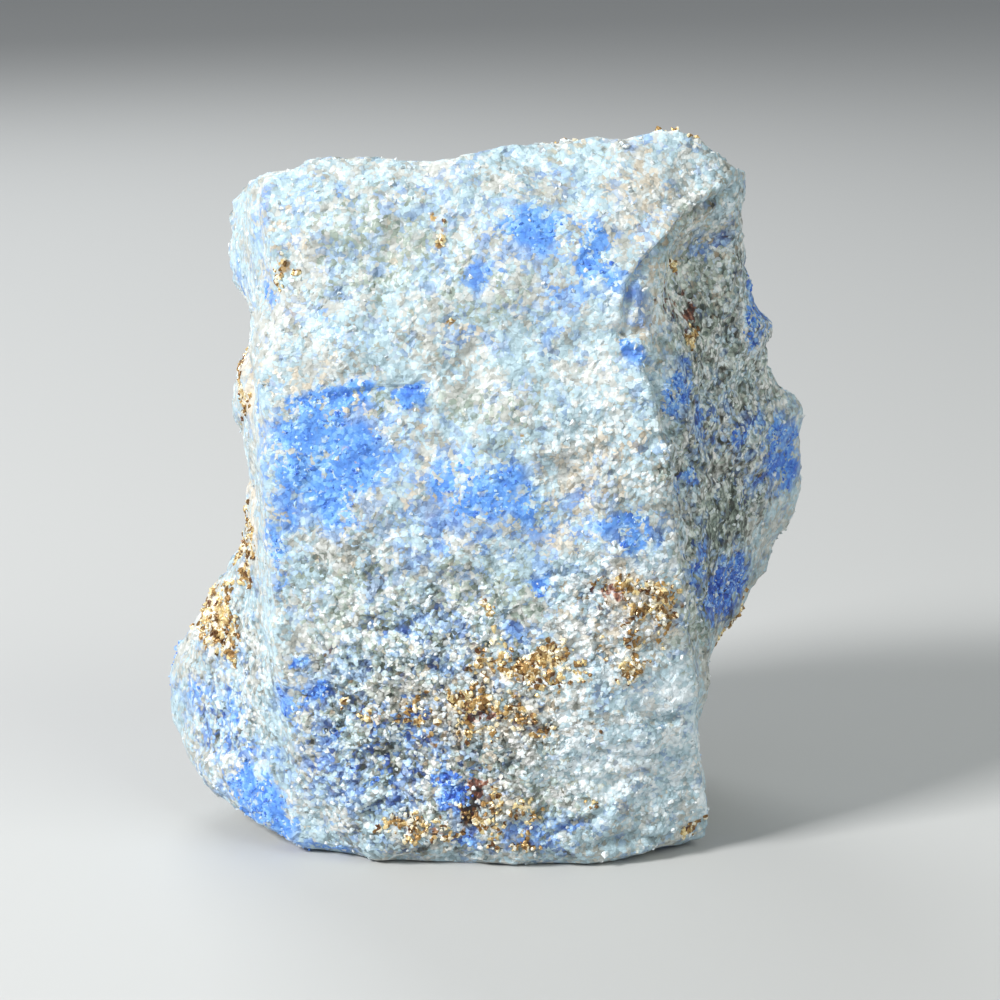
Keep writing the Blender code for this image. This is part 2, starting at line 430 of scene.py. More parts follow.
@dataclass
class Viewpoint:
    """The camera, at the photograph's angle."""

    place: Vector = field(default_factory=lambda: Vector((0.00025, -0.230367, 0.089146)))
    tilt_down_deg: float = 15.0
    lens_mm: float = 100.0
    sensor_mm: float = 36.0
    nearest_m: float = 0.01

    @property
    def turn(self) -> Euler:
        """The camera's rotation."""
        return Euler((math.radians(90.0 - self.tilt_down_deg), 0.0, 0.0))

    def build(self) -> None:
        """Makes the scene's camera."""
        data = bpy.data.cameras.new("camera")
        data.lens = self.lens_mm
        data.sensor_width = self.sensor_mm
        data.clip_start = self.nearest_m
        camera = bpy.data.objects.new("camera", data)
        camera.location = self.place
        camera.rotation_euler = self.turn
        bpy.context.scene.collection.objects.link(camera)
        bpy.context.scene.camera = camera

    def line_of_sight(self, x: float, y: float) -> Vector:
        """The direction in which the camera sees a pixel of its picture.

        Args:
            x: Pixels from the picture's left.
            y: Pixels from its top.

        Returns:
            A unit vector in the part's frame.
        """
        half = PICTURE_PX / 2
        reach = self.lens_mm / self.sensor_mm * PICTURE_PX
        ray = Vector((x - half, half - y, -reach))
        ray.rotate(self.turn)
        return ray.normalized()


@dataclass
class Blob:
    """A patch once it is on the rock: an ellipsoid, in millimetres.

    It fades from nothing at the first of fade's distances to its full strength at the second. A
    distance of 1 is the ellipsoid's own surface.
    """

    middle_mm: Vector
    half_mm: tuple[float, float, float]
    turn: float
    strength: float
    fade: Pair = (1.6, 0.4)

    def amount(self, places_mm: np.ndarray) -> np.ndarray:
        """How much of its mineral the blob gives to each point, from 0 to its strength."""
        across, along, up = (places_mm - np.array(self.middle_mm)).T
        cos, sin = math.cos(self.turn), math.sin(self.turn)
        wide, deep, high = self.half_mm
        far = np.sqrt(
            ((across * cos + up * sin) / wide) ** 2
            + (along / deep) ** 2
            + ((up * cos - across * sin) / high) ** 2
        )
        return self.strength * steps(far, *self.fade)


@dataclass
class MineralMap:
    """Where in the rock each mineral is.

    edge_wander_mm holds the size of each noise that bends the patches' edges and how far it moves
    them. The hidden patches fade in as the rock turns away from the camera, between the two
    cosines of hidden_facing. gap_shares is how much of a mineral its patches' gaps lack.
    """

    view: Viewpoint
    rock: BVHTree
    edge_wander_mm: tuple[Pair, ...] = ((4.5, 1.5), (1.6, 0.9), (0.8, 0.5))
    edge_shift: float = 11.3
    hidden_facing: Pair = (0.2, -0.1)
    hidden_patch_mm: float = 11.0
    gap_mm: float = 1.7
    gap_shift: float = 3.9
    gap_fade: Pair = (0.1, -0.25)
    gap_shares: tuple[tuple[Mineral, float], ...] = (
        (Mineral.PYRITE, 0.6),
        (Mineral.RUST, 0.6),
        (Mineral.LAZURITE, 0.25),
        (Mineral.BUFF, 0.4),
    )

    def spot(self, x: float, y: float) -> Vector | None:
        """The place on the rock that the camera sees at a pixel, in millimetres.

        Args:
            x: Pixels from the picture's left.
            y: Pixels from its top.

        Returns:
            The place, or None where the pixel misses the rock.
        """
        hit = self.rock.ray_cast(self.view.place, self.view.line_of_sight(x, y))[0]
        return None if hit is None else hit / MM

    def blobs(self, mineral: Mineral) -> list[Blob]:
        """The mineral's patches as blobs in the rock."""
        made = []
        for patch in PATCHES[mineral]:
            middle = self.spot(patch.x, patch.y)
            if middle is None:
                LOG.warning("a %s patch misses the rock at %s, %s", mineral.value, patch.x, patch.y)
                continue
            half = (patch.half_width / PX_PER_MM, patch.deep_mm, patch.half_height / PX_PER_MM)
            made.append(Blob(middle, half, math.radians(patch.turn_deg), patch.strength))
        return made

    def wandered(self, places_mm: np.ndarray) -> np.ndarray:
        """The places, each moved a little by noise, so that patches get ragged edges."""
        moved = places_mm.copy()
        for axis in range(3):
            for size, reach in self.edge_wander_mm:
                shift = self.edge_shift * (axis + 1)
                moved[:, axis] += reach * noise_at(places_mm, size, shift)
        return moved

    def amounts(
        self,
        places_mm: np.ndarray,
        normals: np.ndarray,
        chosen: tuple[Mineral, ...] = tuple(Mineral),
    ) -> dict[Mineral, np.ndarray]:
        """How much of each mineral the rock holds at each point.

        Args:
            places_mm: Points on the rock, one in each row.
            normals: The rock's normals there.
            chosen: The minerals that are asked for.

        Returns:
            One number for each point, from 0 up to the strongest patch, for each chosen mineral.
        """
        moved = self.wandered(places_mm)
        sight = np.array(self.view.place) / MM - places_mm
        sight /= np.linalg.norm(sight, axis=1)[:, None]
        hidden = steps((sight * normals).sum(axis=1), *self.hidden_facing)
        gaps = dict(self.gap_shares)
        found = {}
        for number, mineral in enumerate(Mineral):
            if mineral not in chosen:
                continue
            amount = np.zeros(len(places_mm))
            for blob in self.blobs(mineral):
                amount = np.maximum(amount, blob.amount(moved))
            unseen = HIDDEN[mineral]
            lumps = noise_at(moved, self.hidden_patch_mm, unseen.shift)
            behind = unseen.strength * steps(lumps, unseen.low, unseen.high)
            amount = np.maximum(amount, hidden * behind)
            if mineral in gaps:
                holes = noise_at(places_mm, self.gap_mm, self.gap_shift * number)
                amount *= 1.0 - gaps[mineral] * steps(holes, *self.gap_fade)
            found[mineral] = amount
        return found


@dataclass(frozen=True)
class Mix:
    """A sum of outputs: the start, and each output times its share."""

    shares: tuple[float, ...]
    start: float = 0.0


class Graph:
    """A material's nodes, with short calls that add and join them."""

    def __init__(self, name: str) -> None:
        """Starts a material that holds one Principled shader."""
        self.material = bpy.data.materials.new(name)
        self.material.use_nodes = True
        self.tree = self.material.node_tree
        self.shader = self.tree.nodes["Principled BSDF"]

    def add(self, kind: str, **settings: object) -> bpy.types.Node:
        """A new node, with its own settings set."""
        node = self.tree.nodes.new(kind)
        for name, value in settings.items():
            setattr(node, name, value)
        return node

    def feed(self, node: bpy.types.Node, socket: str | int, value: object) -> None:
        """Joins an output to a node's input, or sets the input to a plain value."""
        target = node.inputs[socket]
        if isinstance(value, Socket):
            self.tree.links.new(value, target)
        else:
            target.default_value = value

    def sum(self, operation: str, *values: object) -> Socket:
        """One step of arithmetic.

        Args:
            operation: The Math node's operation.
            values: Outputs or plain numbers.

        Returns:
            The result's output.
        """
        node = self.add("ShaderNodeMath", operation=operation)
        for place, value in enumerate(values):
            self.feed(node, place, value)
        return node.outputs[0]

    def mixed(self, mix: Mix, *values: object) -> Socket:
        """The outputs' sum, as the mix says.

        Args:
            mix: The start, and a share for each output.
            values: The outputs, in the order of their shares.

        Returns:
            The sum's output.
        """
        total: object = mix.start
        for value, share in zip(values, mix.shares, strict=True):
            total = self.sum("MULTIPLY_ADD", value, share, total)
        return total

    def vector(self, operation: str, *values: object) -> bpy.types.Node:
        """One step of vector arithmetic, as its node."""
        node = self.add("ShaderNodeVectorMath", operation=operation)
        for place, value in enumerate(values):
            self.feed(node, place, value)
        return node

    def share(self, value: object, low: float, high: float) -> Socket:
        """A smooth step from 0 at low to 1 at high."""
        node = self.add("ShaderNodeMapRange", interpolation_type="SMOOTHSTEP")
        self.feed(node, "Value", value)
        self.feed(node, "From Min", low)
        self.feed(node, "From Max", high)
        return node.outputs["Result"]

    def blend(self, amount: object, first: object, second: object) -> Socket:
        """A mix of two colours, all first at 0 and all second at 1."""
        node = self.add("ShaderNodeMix", data_type="RGBA")
        self.feed(node, 0, amount)
        for socket, colour in zip(MIX_INPUTS, (first, second)):
            self.feed(node, socket, colour if not isinstance(colour, tuple) else (*colour, 1.0))
        return node.outputs[MIX_RESULT]

    def ramp(self, value: object, stops: Ramp) -> Socket:
        """Colours along a scale.

        Args:
            value: The output that picks the colour.
            stops: Each colour with its place on the scale.

        Returns:
            The colour's output.
        """
        node = self.add("ShaderNodeValToRGB")
        points = node.color_ramp.elements
        while len(points) < len(stops):
            points.new(0.5)
        for point, (place, colour) in zip(points, stops):
            point.position = place
            point.color = (*colour, 1.0)
        self.feed(node, "Fac", value)
        return node.outputs["Color"]

    def places_mm(self) -> Socket:
        """Object coordinates in millimetres."""
        coordinates = self.add("ShaderNodeTexCoord").outputs["Object"]
        node = self.vector("SCALE", coordinates)
        self.feed(node, "Scale", 1.0 / MM)
        return node.outputs["Vector"]

    def noise(self, places: object, size_mm: float, detail: float) -> bpy.types.Node:
        """A noise texture whose lumps have this size."""
        node = self.add("ShaderNodeTexNoise")
        self.feed(node, "Vector", places)
        self.feed(node, "Scale", 1.0 / size_mm)
        self.feed(node, "Detail", detail)
        return node

    def cells(self, places: object, size_mm: float) -> bpy.types.Node:
        """A texture of grains of this size, each with random numbers of its own."""
        node = self.add("ShaderNodeTexVoronoi", feature="F1")
        self.feed(node, "Vector", places)
        self.feed(node, "Scale", 1.0 / size_mm)
        return node

    def parts(self, colour: Socket) -> list[Socket]:
        """The three random numbers in a grain's random colour."""
        node = self.add("ShaderNodeSeparateColor")
        self.feed(node, "Color", colour)
        return list(node.outputs)

    def tilted_cells(self, places: object, cells: bpy.types.Node) -> Socket:
        """A height for each point of a grain, as if each grain were a facet with its own tilt."""
        tilt = self.vector("SUBTRACT", cells.outputs["Color"], MIDDLE_COLOUR).outputs["Vector"]
        offset = self.vector("SUBTRACT", places, cells.outputs["Position"]).outputs["Vector"]
        return self.vector("DOT_PRODUCT", tilt, offset).outputs["Value"]

    def bump(self, height_mm: object) -> None:
        """Gives the shader a relief whose height is in millimetres."""
        node = self.add("ShaderNodeBump")
        self.feed(node, "Strength", 1.0)
        self.feed(node, "Distance", MM)
        self.feed(node, "Height", height_mm)
        self.feed(self.shader, "Normal", node.outputs["Normal"])


@dataclass(frozen=True)
class RockFinish:
    """Broken lapis rock: blue, white and grey-green grains, with metal and rust between them.

    Each noise is its size in millimetres and its detail. wander_mm holds the size of each noise
    that bends the grains and how far it moves them.
    """

    name: str = "lapis_rock"
    grain_mm: float = 0.38
    cluster_mm: float = 1.1
    wander_mm: tuple[Pair, ...] = ((1.4, 0.6), (0.35, 0.4))
    wander_detail: float = 1.0
    blur: Pair = (0.7, 3.0)
    swirl: Pair = (2.4, 2.0)
    hue: Pair = (3.6, 2.0)
    dust: Pair = (0.16, 2.0)
    lazurite: Ramp = (
        (0.0, (0.03, 0.09, 0.48)),
        (0.3, (0.06, 0.20, 0.74)),
        (0.6, (0.14, 0.37, 0.88)),
        (0.85, (0.36, 0.64, 0.95)),
        (1.0, (0.66, 0.84, 0.98)),
    )
    pale_lazurite: Ramp = (
        (0.0, (0.05, 0.10, 0.24)),
        (0.4, (0.21, 0.34, 0.58)),
        (0.7, (0.38, 0.56, 0.83)),
        (1.0, (0.74, 0.87, 0.97)),
    )
    cool_ground: Ramp = (
        (0.0, (0.07, 0.10, 0.11)),
        (0.2, (0.21, 0.28, 0.30)),
        (0.45, (0.38, 0.52, 0.58)),
        (0.7, (0.54, 0.71, 0.79)),
        (1.0, (0.87, 0.95, 0.99)),
    )
    warm_ground: Ramp = (
        (0.0, (0.06, 0.06, 0.05)),
        (0.2, (0.22, 0.23, 0.20)),
        (0.45, (0.46, 0.47, 0.43)),
        (0.7, (0.66, 0.68, 0.65)),
        (1.0, (0.96, 0.95, 0.92)),
    )
    diopside: Ramp = (
        (0.0, (0.04, 0.05, 0.04)),
        (0.3, (0.16, 0.20, 0.17)),
        (0.6, (0.36, 0.43, 0.37)),
        (1.0, (0.78, 0.84, 0.78)),
    )
    buff: Ramp = (
        (0.0, (0.26, 0.20, 0.13)),
        (0.5, (0.62, 0.56, 0.46)),
        (1.0, (0.94, 0.91, 0.83)),
    )
    pyrite: Ramp = (
        (0.0, (0.05, 0.02, 0.01)),
        (0.35, (0.24, 0.12, 0.04)),
        (0.65, (0.62, 0.42, 0.17)),
        (1.0, (0.98, 0.90, 0.66)),
    )
    rust: Ramp = (
        (0.0, (0.02, 0.008, 0.008)),
        (0.5, (0.12, 0.035, 0.022)),
        (0.8, (0.40, 0.18, 0.11)),
        (1.0, (0.86, 0.70, 0.60)),
    )
    background: tuple[tuple[Mineral, float], ...] = (
        (Mineral.LAZURITE, 0.2),
        (Mineral.DIOPSIDE, 0.12),
        (Mineral.BUFF, 0.04),
        (Mineral.PYRITE, -0.2),
        (Mineral.RUST, -0.2),
    )
    full_share: float = 0.95
    grain_edge: Pair = (-0.1, 0.16)
    # Lightness, from the grain, its cluster, the blur and the swirl.
    tone: Mix = Mix((0.5, 0.25, 1.1, 0.6), -1.22)
    # How far the lightness spreads, from the grit, and its middle, which the painted shade and
    # stain lower.
    spread: Mix = Mix((1.15,), 0.46)
    middle: Mix = Mix((-0.34,), 0.57)
    # What picks a grain's mineral, from the grain, its cluster, and the swirl or the blur.
    dice: Mix = Mix((0.6, 0.4, 1.4), -0.7)
    other_dice: Mix = Mix((0.7, 0.3, 0.8), -0.4)
    # The ground's warmth, from the hue, the grain and the calcite.
    warmth: Mix = Mix((0.9, 0.34, -0.12), -0.11)
    warmth_fade: Pair = (0.44, 0.62)
    calcite_light: float = 0.3
    # Where there is little lazurite, it is pale and covers less.
    pale_fade: Pair = (0.75, 0.15)
    blue_cover: Mix = Mix((-0.35,), 1.0)
    # Painted shade in the gaps between grains, deeper in the grit.
    gap_fade: Pair = (0.45, 0.85)
    gap_shade: Mix = Mix((0.45,), 0.03)
    metallic: float = 0.35
    roughness: Mix = Mix((0.35,), 0.34)
    # The relief of the grains, their clusters and the dust, and its strength, from the grit.
    relief: Mix = Mix((0.8, 0.5, 0.06))
    relief_strength: Mix = Mix((0.5,), 0.4)

    def material(self) -> bpy.types.Material:
        """Makes the rock's material, which reads the skin's mineral attributes.

        Returns:
            The material.
        """
        graph = Graph(self.name)
        places = graph.places_mm()
        bent = self.bent(graph, places)
        grains = graph.cells(bent, self.grain_mm)
        clusters = graph.cells(bent, self.cluster_mm)
        grain = graph.parts(grains.outputs["Color"])
        cluster = graph.parts(clusters.outputs["Color"])
        blur = graph.noise(places, *self.blur).outputs["Fac"]
        swirl = graph.noise(bent, *self.swirl).outputs["Fac"]
        hue = graph.noise(bent, *self.hue).outputs["Fac"]
        coarse = self.amount(graph, Mineral.GRIT)
        swing = graph.mixed(self.tone, grain[0], cluster[0], blur, swirl)
        spread = graph.mixed(self.spread, coarse)
        middle = graph.mixed(self.middle, self.amount(graph, Mineral.SHADE_AND_STAIN))
        tone = graph.sum("MULTIPLY_ADD", swing, spread, middle)
        dice = graph.mixed(self.dice, grain[1], cluster[1], swirl)
        other_dice = graph.mixed(self.other_dice, grain[2], cluster[2], blur)

        colour = self.ground(graph, tone, other_dice, (hue, grain[2]))
        buff = self.mask(graph, Mineral.BUFF, other_dice)
        colour = graph.blend(buff, colour, graph.ramp(tone, self.buff))
        colour = self.with_blue(graph, colour, tone, dice)
        rust = self.mask(graph, Mineral.RUST, other_dice)
        colour = graph.blend(rust, colour, graph.ramp(tone, self.rust))
        metal = self.mask(graph, Mineral.PYRITE, dice)
        colour = graph.blend(metal, colour, graph.ramp(tone, self.pyrite))
        # Painted shade between grains: darker towards each grain's edge.
        gap = graph.share(grains.outputs["Distance"], *self.gap_fade)
        gap = graph.sum("MULTIPLY", gap, graph.mixed(self.gap_shade, coarse))
        colour = graph.blend(gap, colour, self.warm_ground[0][1])
        graph.feed(graph.shader, "Base Color", colour)
        graph.feed(graph.shader, "Metallic", graph.sum("MULTIPLY", metal, self.metallic))
        graph.feed(graph.shader, "Roughness", graph.mixed(self.roughness, grain[2]))

        facets = graph.tilted_cells(bent, grains)
        broad = graph.tilted_cells(bent, clusters)
        dust = graph.noise(places, *self.dust).outputs["Fac"]
        relief = graph.mixed(self.relief, facets, broad, dust)
        strength = graph.mixed(self.relief_strength, coarse)
        graph.bump(graph.sum("MULTIPLY", relief, strength))
        return graph.material

    def bent(self, graph: Graph, places: Socket) -> Socket:
        """The places, each moved a little by noise, so that grains get uneven shapes."""
        bent = places
        for size, reach in self.wander_mm:
            drift = graph.noise(places, size, self.wander_detail).outputs["Color"]
            drift = graph.vector("SUBTRACT", drift, MIDDLE_COLOUR).outputs["Vector"]
            drift = graph.vector("MULTIPLY", drift, (reach,) * 3).outputs["Vector"]
            bent = graph.vector("ADD", bent, drift).outputs["Vector"]
        return bent

    def ground(
        self,
        graph: Graph,
        tone: Socket,
        dice: Socket,
        warmers: tuple[Socket, Socket],
    ) -> Socket:
        """The pale rock that the other minerals lie in, with its grey-green grains.

        Args:
            graph: The material's nodes.
            tone: The lightness.
            dice: What picks the grey-green grains.
            warmers: The hue and the grain's number, which make it warm or cool.

        Returns:
            The colour's output.
        """
        calcite = self.amount(graph, Mineral.CALCITE)
        light = graph.sum("MULTIPLY_ADD", calcite, self.calcite_light, tone)
        warmth = graph.mixed(self.warmth, *warmers, calcite)
        warmth = graph.share(warmth, *self.warmth_fade)
        cool = graph.ramp(light, self.cool_ground)
        colour = graph.blend(warmth, cool, graph.ramp(light, self.warm_ground))
        green = self.mask(graph, Mineral.DIOPSIDE, dice)
        return graph.blend(green, colour, graph.ramp(light, self.diopside))

    def with_blue(
        self,
        graph: Graph,
        colour: Socket,
        tone: Socket,
        dice: Socket,
    ) -> Socket:
        """A colour with the lazurite's grains laid over it.

        Args:
            graph: The material's nodes.
            colour: The colour under the grains.
            tone: The lightness.
            dice: What picks the grains.

        Returns:
            The colour's output.
        """
        pale = graph.share(self.amount(graph, Mineral.LAZURITE), *self.pale_fade)
        faint = graph.ramp(tone, self.pale_lazurite)
        blue = graph.blend(pale, graph.ramp(tone, self.lazurite), faint)
        cover = graph.mixed(self.blue_cover, pale)
        cover = graph.sum("MULTIPLY", cover, self.mask(graph, Mineral.LAZURITE, dice))
        return graph.blend(cover, colour, blue)

    def amount(self, graph: Graph, mineral: Mineral) -> Socket:
        """How much of a mineral the skin holds, from its attribute."""
        return graph.add("ShaderNodeAttribute", attribute_name=mineral.value).outputs["Fac"]

    def mask(
        self, graph: Graph, mineral: Mineral, dice: Socket
    ) -> Socket:
        """Which grains are of a mineral: those whose dice fall below its amount.

        Args:
            graph: The material's nodes.
            mineral: The mineral.
            dice: A random number for each grain.

        Returns:
            1 inside such a grain, 0 outside, with a soft edge.
        """
        base = dict(self.background)[mineral]
        amount = graph.mixed(Mix((self.full_share - base,), base), self.amount(graph, mineral))
        margin = graph.sum("SUBTRACT", amount, dice)
        return graph.share(margin, *self.grain_edge)


@dataclass(frozen=True)
class CrystalFinish:
    """Small loose-looking crystals of one mineral.

    Each noise is its size in millimetres and its detail.
    """

    name: str
    stops: Ramp
    metallic: float = 0.0
    roughness: Pair = (0.25, 0.5)
    spot_mm: float = 0.5
    cloud: Pair = (0.35, 2.0)
    cloud_share: Mix = Mix((0.5,), -0.25)
    grit: Pair = (0.12, 2.0)
    grit_height_mm: float = 0.05

    def material(self) -> bpy.types.Material:
        """Makes the crystals' material, each crystal in about one tone.

        Returns:
            The material.
        """
        graph = Graph(self.name)
        places = graph.places_mm()
        spot = graph.parts(graph.cells(places, self.spot_mm).outputs["Color"])
        cloud = graph.noise(places, *self.cloud).outputs["Fac"]
        tone = graph.sum("ADD", graph.mixed(self.cloud_share, cloud), spot[0])
        graph.feed(graph.shader, "Base Color", graph.ramp(tone, self.stops))
        low, high = self.roughness
        rough = graph.mixed(Mix((high - low,), low), spot[1])
        graph.feed(graph.shader, "Roughness", rough)
        graph.shader.inputs["Metallic"].default_value = self.metallic
        grit = graph.noise(places, *self.grit).outputs["Fac"]
        graph.bump(graph.sum("MULTIPLY", grit, self.grit_height_mm))
        return graph.material


@dataclass
class RockSkin:
    """The chunk's own surface, with its grains, chips and cracks.

    lumps holds each lump's size and height in millimetres. calm is the share of the relief that
    is left where there is no grit. The points below standing_mm stay flat, to rest on.
    """

    name: str = "lapis_stone"
    merge_mm: float = 0.001
    cell_mm: float = 0.355
    smoothings: int = 1
    smoothing: float = 0.5
    lumps: tuple[Pair, ...] = ((3.2, 0.20), (1.5, 0.15), (0.75, 0.10))
    lump_shift: float = 3.1
    facet_mm: float = 1.5
    facet_slope: float = 0.5
    facet_shifts: tuple[float, float, float] = (1.7, 5.9, 9.1)
    facet_side_shift: float = 3.3
    calm: float = 0.4
    standing_mm: float = 0.3
    # The crack depth that paints full shade into a crack.
    crack_shade_mm: float = 0.4
    finish: RockFinish = field(default_factory=RockFinish)

    def build(self, node: bpy.types.Object, view: Viewpoint) -> bpy.types.Object:
        """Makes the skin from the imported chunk.

        Args:
            node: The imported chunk.
            view: The camera, which places the patches and cracks.

        Returns:
            The skin's object.
        """
        skin = self.fine_copy(node)
        tree = self.tree(skin)
        minerals = MineralMap(view, tree)
        self.roughen(skin, minerals)
        self.mark(skin, minerals)
        skin.data.materials.clear()
        skin.data.materials.append(self.finish.material())
        return skin

    def tree(self, skin: bpy.types.Object) -> BVHTree:
        """A search tree of the skin's faces."""
        shape = bmesh.new()
        shape.from_mesh(skin.data)
        tree = BVHTree.FromBMesh(shape)
        shape.free()
        return tree

    def fine_copy(self, node: bpy.types.Object) -> bpy.types.Object:
        """A copy of the chunk with small even faces and softened facets.

        Args:
            node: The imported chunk.

        Returns:
            A new object with a mesh of its own.
        """
        shape = bmesh.new()
        shape.from_mesh(node.data)
        bmesh.ops.remove_doubles(shape, verts=shape.verts, dist=self.merge_mm * MM)
        mesh = bpy.data.meshes.new(self.name)
        shape.to_mesh(mesh)
        shape.free()
        skin = bpy.data.objects.new(self.name, mesh)
        bpy.context.scene.collection.objects.link(skin)
        remesh = skin.modifiers.new("even_faces", "REMESH")
        remesh.mode = "VOXEL"
        remesh.voxel_size = self.cell_mm * MM
        depsgraph = bpy.context.evaluated_depsgraph_get()
        fine = bpy.data.meshes.new_from_object(skin.evaluated_get(depsgraph))
        skin.modifiers.clear()
        skin.data = fine
        fine.name = self.name
        bpy.data.meshes.remove(mesh)
        shape = bmesh.new()
        shape.from_mesh(fine)
        for _ in range(self.smoothings):
            bmesh.ops.smooth_vert(
                shape,
                verts=shape.verts,
                factor=self.smoothing,
                use_axis_x=True,
                use_axis_y=True,
                use_axis_z=True,
            )
        shape.to_mesh(fine)
        shape.free()
        return skin

    def facet_height(self, place: Vector) -> float:
        """The height of the tilted facet that a point lies on, in millimetres."""
        feature = noise.voronoi(place / self.facet_mm)[1][0]
        side = self.facet_side_shift
        shifts = [Vector((shift, side, -shift)) for shift in self.facet_shifts]
        tilt = Vector([noise.noise(feature + shift) for shift in shifts])
        return self.facet_slope * tilt.dot(place - feature * self.facet_mm)

    def roughen(self, skin: bpy.types.Object, minerals: MineralMap) -> None:
        """Moves the skin's points in and out: lumps, small facets and cracks.

        Args:
            skin: The skin's object, which is changed.
            minerals: Finds the places of the cracks.
        """
        mesh = skin.data
        places, normals = points_of(mesh)
        places = places / MM
        rise = np.zeros(len(places))
        for number, (size, height) in enumerate(self.lumps):
            rise += height * noise_at(places, size, self.lump_shift + number)
        rise += np.array([self.facet_height(Vector(place)) for place in places])
        grit = minerals.amounts(places, normals, (Mineral.GRIT,))[Mineral.GRIT]
        rise *= self.calm + (1.0 - self.calm) * grit
        for crack in CRACKS:
            rise -= self.crack_depth(crack, places, minerals)
        rise[places[:, 2] < self.standing_mm] = 0.0
        places += normals * rise[:, None]
        places[:, 2] = np.maximum(places[:, 2], 0.0)
        mesh.vertices.foreach_set("co", (places * MM).ravel())
        mesh.update()

    def crack_depth(self, crack: Crack, places: np.ndarray, minerals: MineralMap) -> np.ndarray:
        """How deep a crack cuts in at each point, in millimetres."""
        nearest = np.full(len(places), np.inf)
        spots = [minerals.spot(*pixel) for pixel in crack.pixels]
        spots = [np.array(spot) for spot in spots if spot is not None]
        for start, end in zip(spots, spots[1:]):
            along = end - start
            share = np.clip((places - start) @ along / (along @ along), 0.0, 1.0)
            gap = np.linalg.norm(places - start - share[:, None] * along, axis=1)
            nearest = np.minimum(nearest, gap)
        return crack.depth_mm * np.exp(-((nearest / crack.width_mm) ** 2))

    def mark(self, skin: bpy.types.Object, minerals: MineralMap) -> None:
        """Writes how much of each mineral the skin holds into its point attributes."""
        places, normals = points_of(skin.data)
        places = places / MM
        amounts = minerals.amounts(places, normals)
        # Painted shade along the cracks, darker where they cut deeper.
        for crack in CRACKS:
            crack_shade = self.crack_depth(crack, places, minerals) / self.crack_shade_mm
            amounts[Mineral.SHADE_AND_STAIN] = np.maximum(amounts[Mineral.SHADE_AND_STAIN], crack_shade)
        for mineral, amount in amounts.items():
            layer = skin.data.attributes.new(mineral.value, "FLOAT", "POINT")
            layer.data.foreach_set("value", amount.astype(np.float32))


@dataclass
class CrystalScatter:
    """Crystals of one mineral that stand out of the skin, thickest where the skin holds it.

    lift is how far a crystal's middle stands out, as a share of its size. Crystals grow where the
    mineral's amount is over least. fine_share is how often they stand where there is no grit.
    """

    name: str
    mineral: Mineral
    finish: CrystalFinish
    count: int
    size_mm: Pair
    lift: float
    least: float
    seed: int
    fine_share: float = 0.3
    jitter_mm: float = 0.3
    shapes: int = 8
    uneven: float = 0.36
    stretch: Pair = (0.6, 1.4)

    def build(self, skin: bpy.types.Object) -> bpy.types.Object:
        """Sets the crystals into the skin.

        Args:
            skin: The dressed skin, with its mineral attributes.

        Returns:
            One object that holds all the crystals.
        """
        rng = np.random.default_rng(self.seed)
        templates = [self.crystal(rng) for _ in range(self.shapes)]
        places, normals = self.spots(skin, rng)
        shape = bmesh.new()
        for place, normal in zip(places, normals):
            size = rng.uniform(*self.size_mm) * MM
            turn = Euler(rng.uniform(0.0, math.tau, 3)).to_matrix().to_4x4()
            stretch = Matrix.Diagonal((*rng.uniform(*self.stretch, 3), 1.0))
            middle = Vector(place) + Vector(normal) * size * self.lift
            matrix = Matrix.Translation(middle) @ turn @ stretch @ Matrix.Scale(size / 2, 4)
            crystal = templates[rng.integers(self.shapes)].copy()
            crystal.transform(matrix)
            if min(vert.co.z for vert in crystal.vertices) > 0.0:
                shape.from_mesh(crystal)
            bpy.data.meshes.remove(crystal)
        for template in templates:
            bpy.data.meshes.remove(template)
        mesh = bpy.data.meshes.new(self.name)
        shape.to_mesh(mesh)
        shape.free()
        mesh.materials.append(self.finish.material())
        crystals = bpy.data.objects.new(self.name, mesh)
        bpy.context.scene.collection.objects.link(crystals)
        return crystals

    def crystal(self, rng: np.random.Generator) -> bpy.types.Mesh:
        """A lump with a few flat faces, about 2 across.

        Args:
            rng: The scatter's random numbers.

        Returns:
            A mesh of its own.
        """
        shape = bmesh.new()
        bmesh.ops.create_icosphere(shape, subdivisions=1, radius=1.0)
        for vert in shape.verts:
            vert.co *= 1.0 + rng.uniform(-self.uneven, self.uneven)
        mesh = bpy.data.meshes.new("crystal")
        shape.to_mesh(mesh)
        shape.free()
        return mesh

    def spots(
        self, skin: bpy.types.Object, rng: np.random.Generator
    ) -> tuple[np.ndarray, np.ndarray]:
        """Where the crystals stand.

        Args:
            skin: The dressed skin.
            rng: The scatter's random numbers.

        Returns:
            The places and the skin's normals there, in metres.
        """
        places, normals = points_of(skin.data)
        amount, grit = (values_of(skin.data, kind.value) for kind in (self.mineral, Mineral.GRIT))
        weight = np.sqrt(np.clip(amount - self.least, 0.0, None)) * (self.fine_share + grit)
        picked = rng.choice(len(places), self.count, replace=False, p=weight / weight.sum())
        shift = rng.uniform(-self.jitter_mm, self.jitter_mm, (self.count, 3)) * MM
        shift -= (shift * normals[picked]).sum(axis=1)[:, None] * normals[picked]
        return places[picked] + shift, normals[picked]


@dataclass(frozen=True)
class Lamp:
    """A square soft lamp: its place and side in metres, and its power in watts."""

    name: str
    place: tuple[float, float, float]
    side: float
    power: float
    tint: Colour


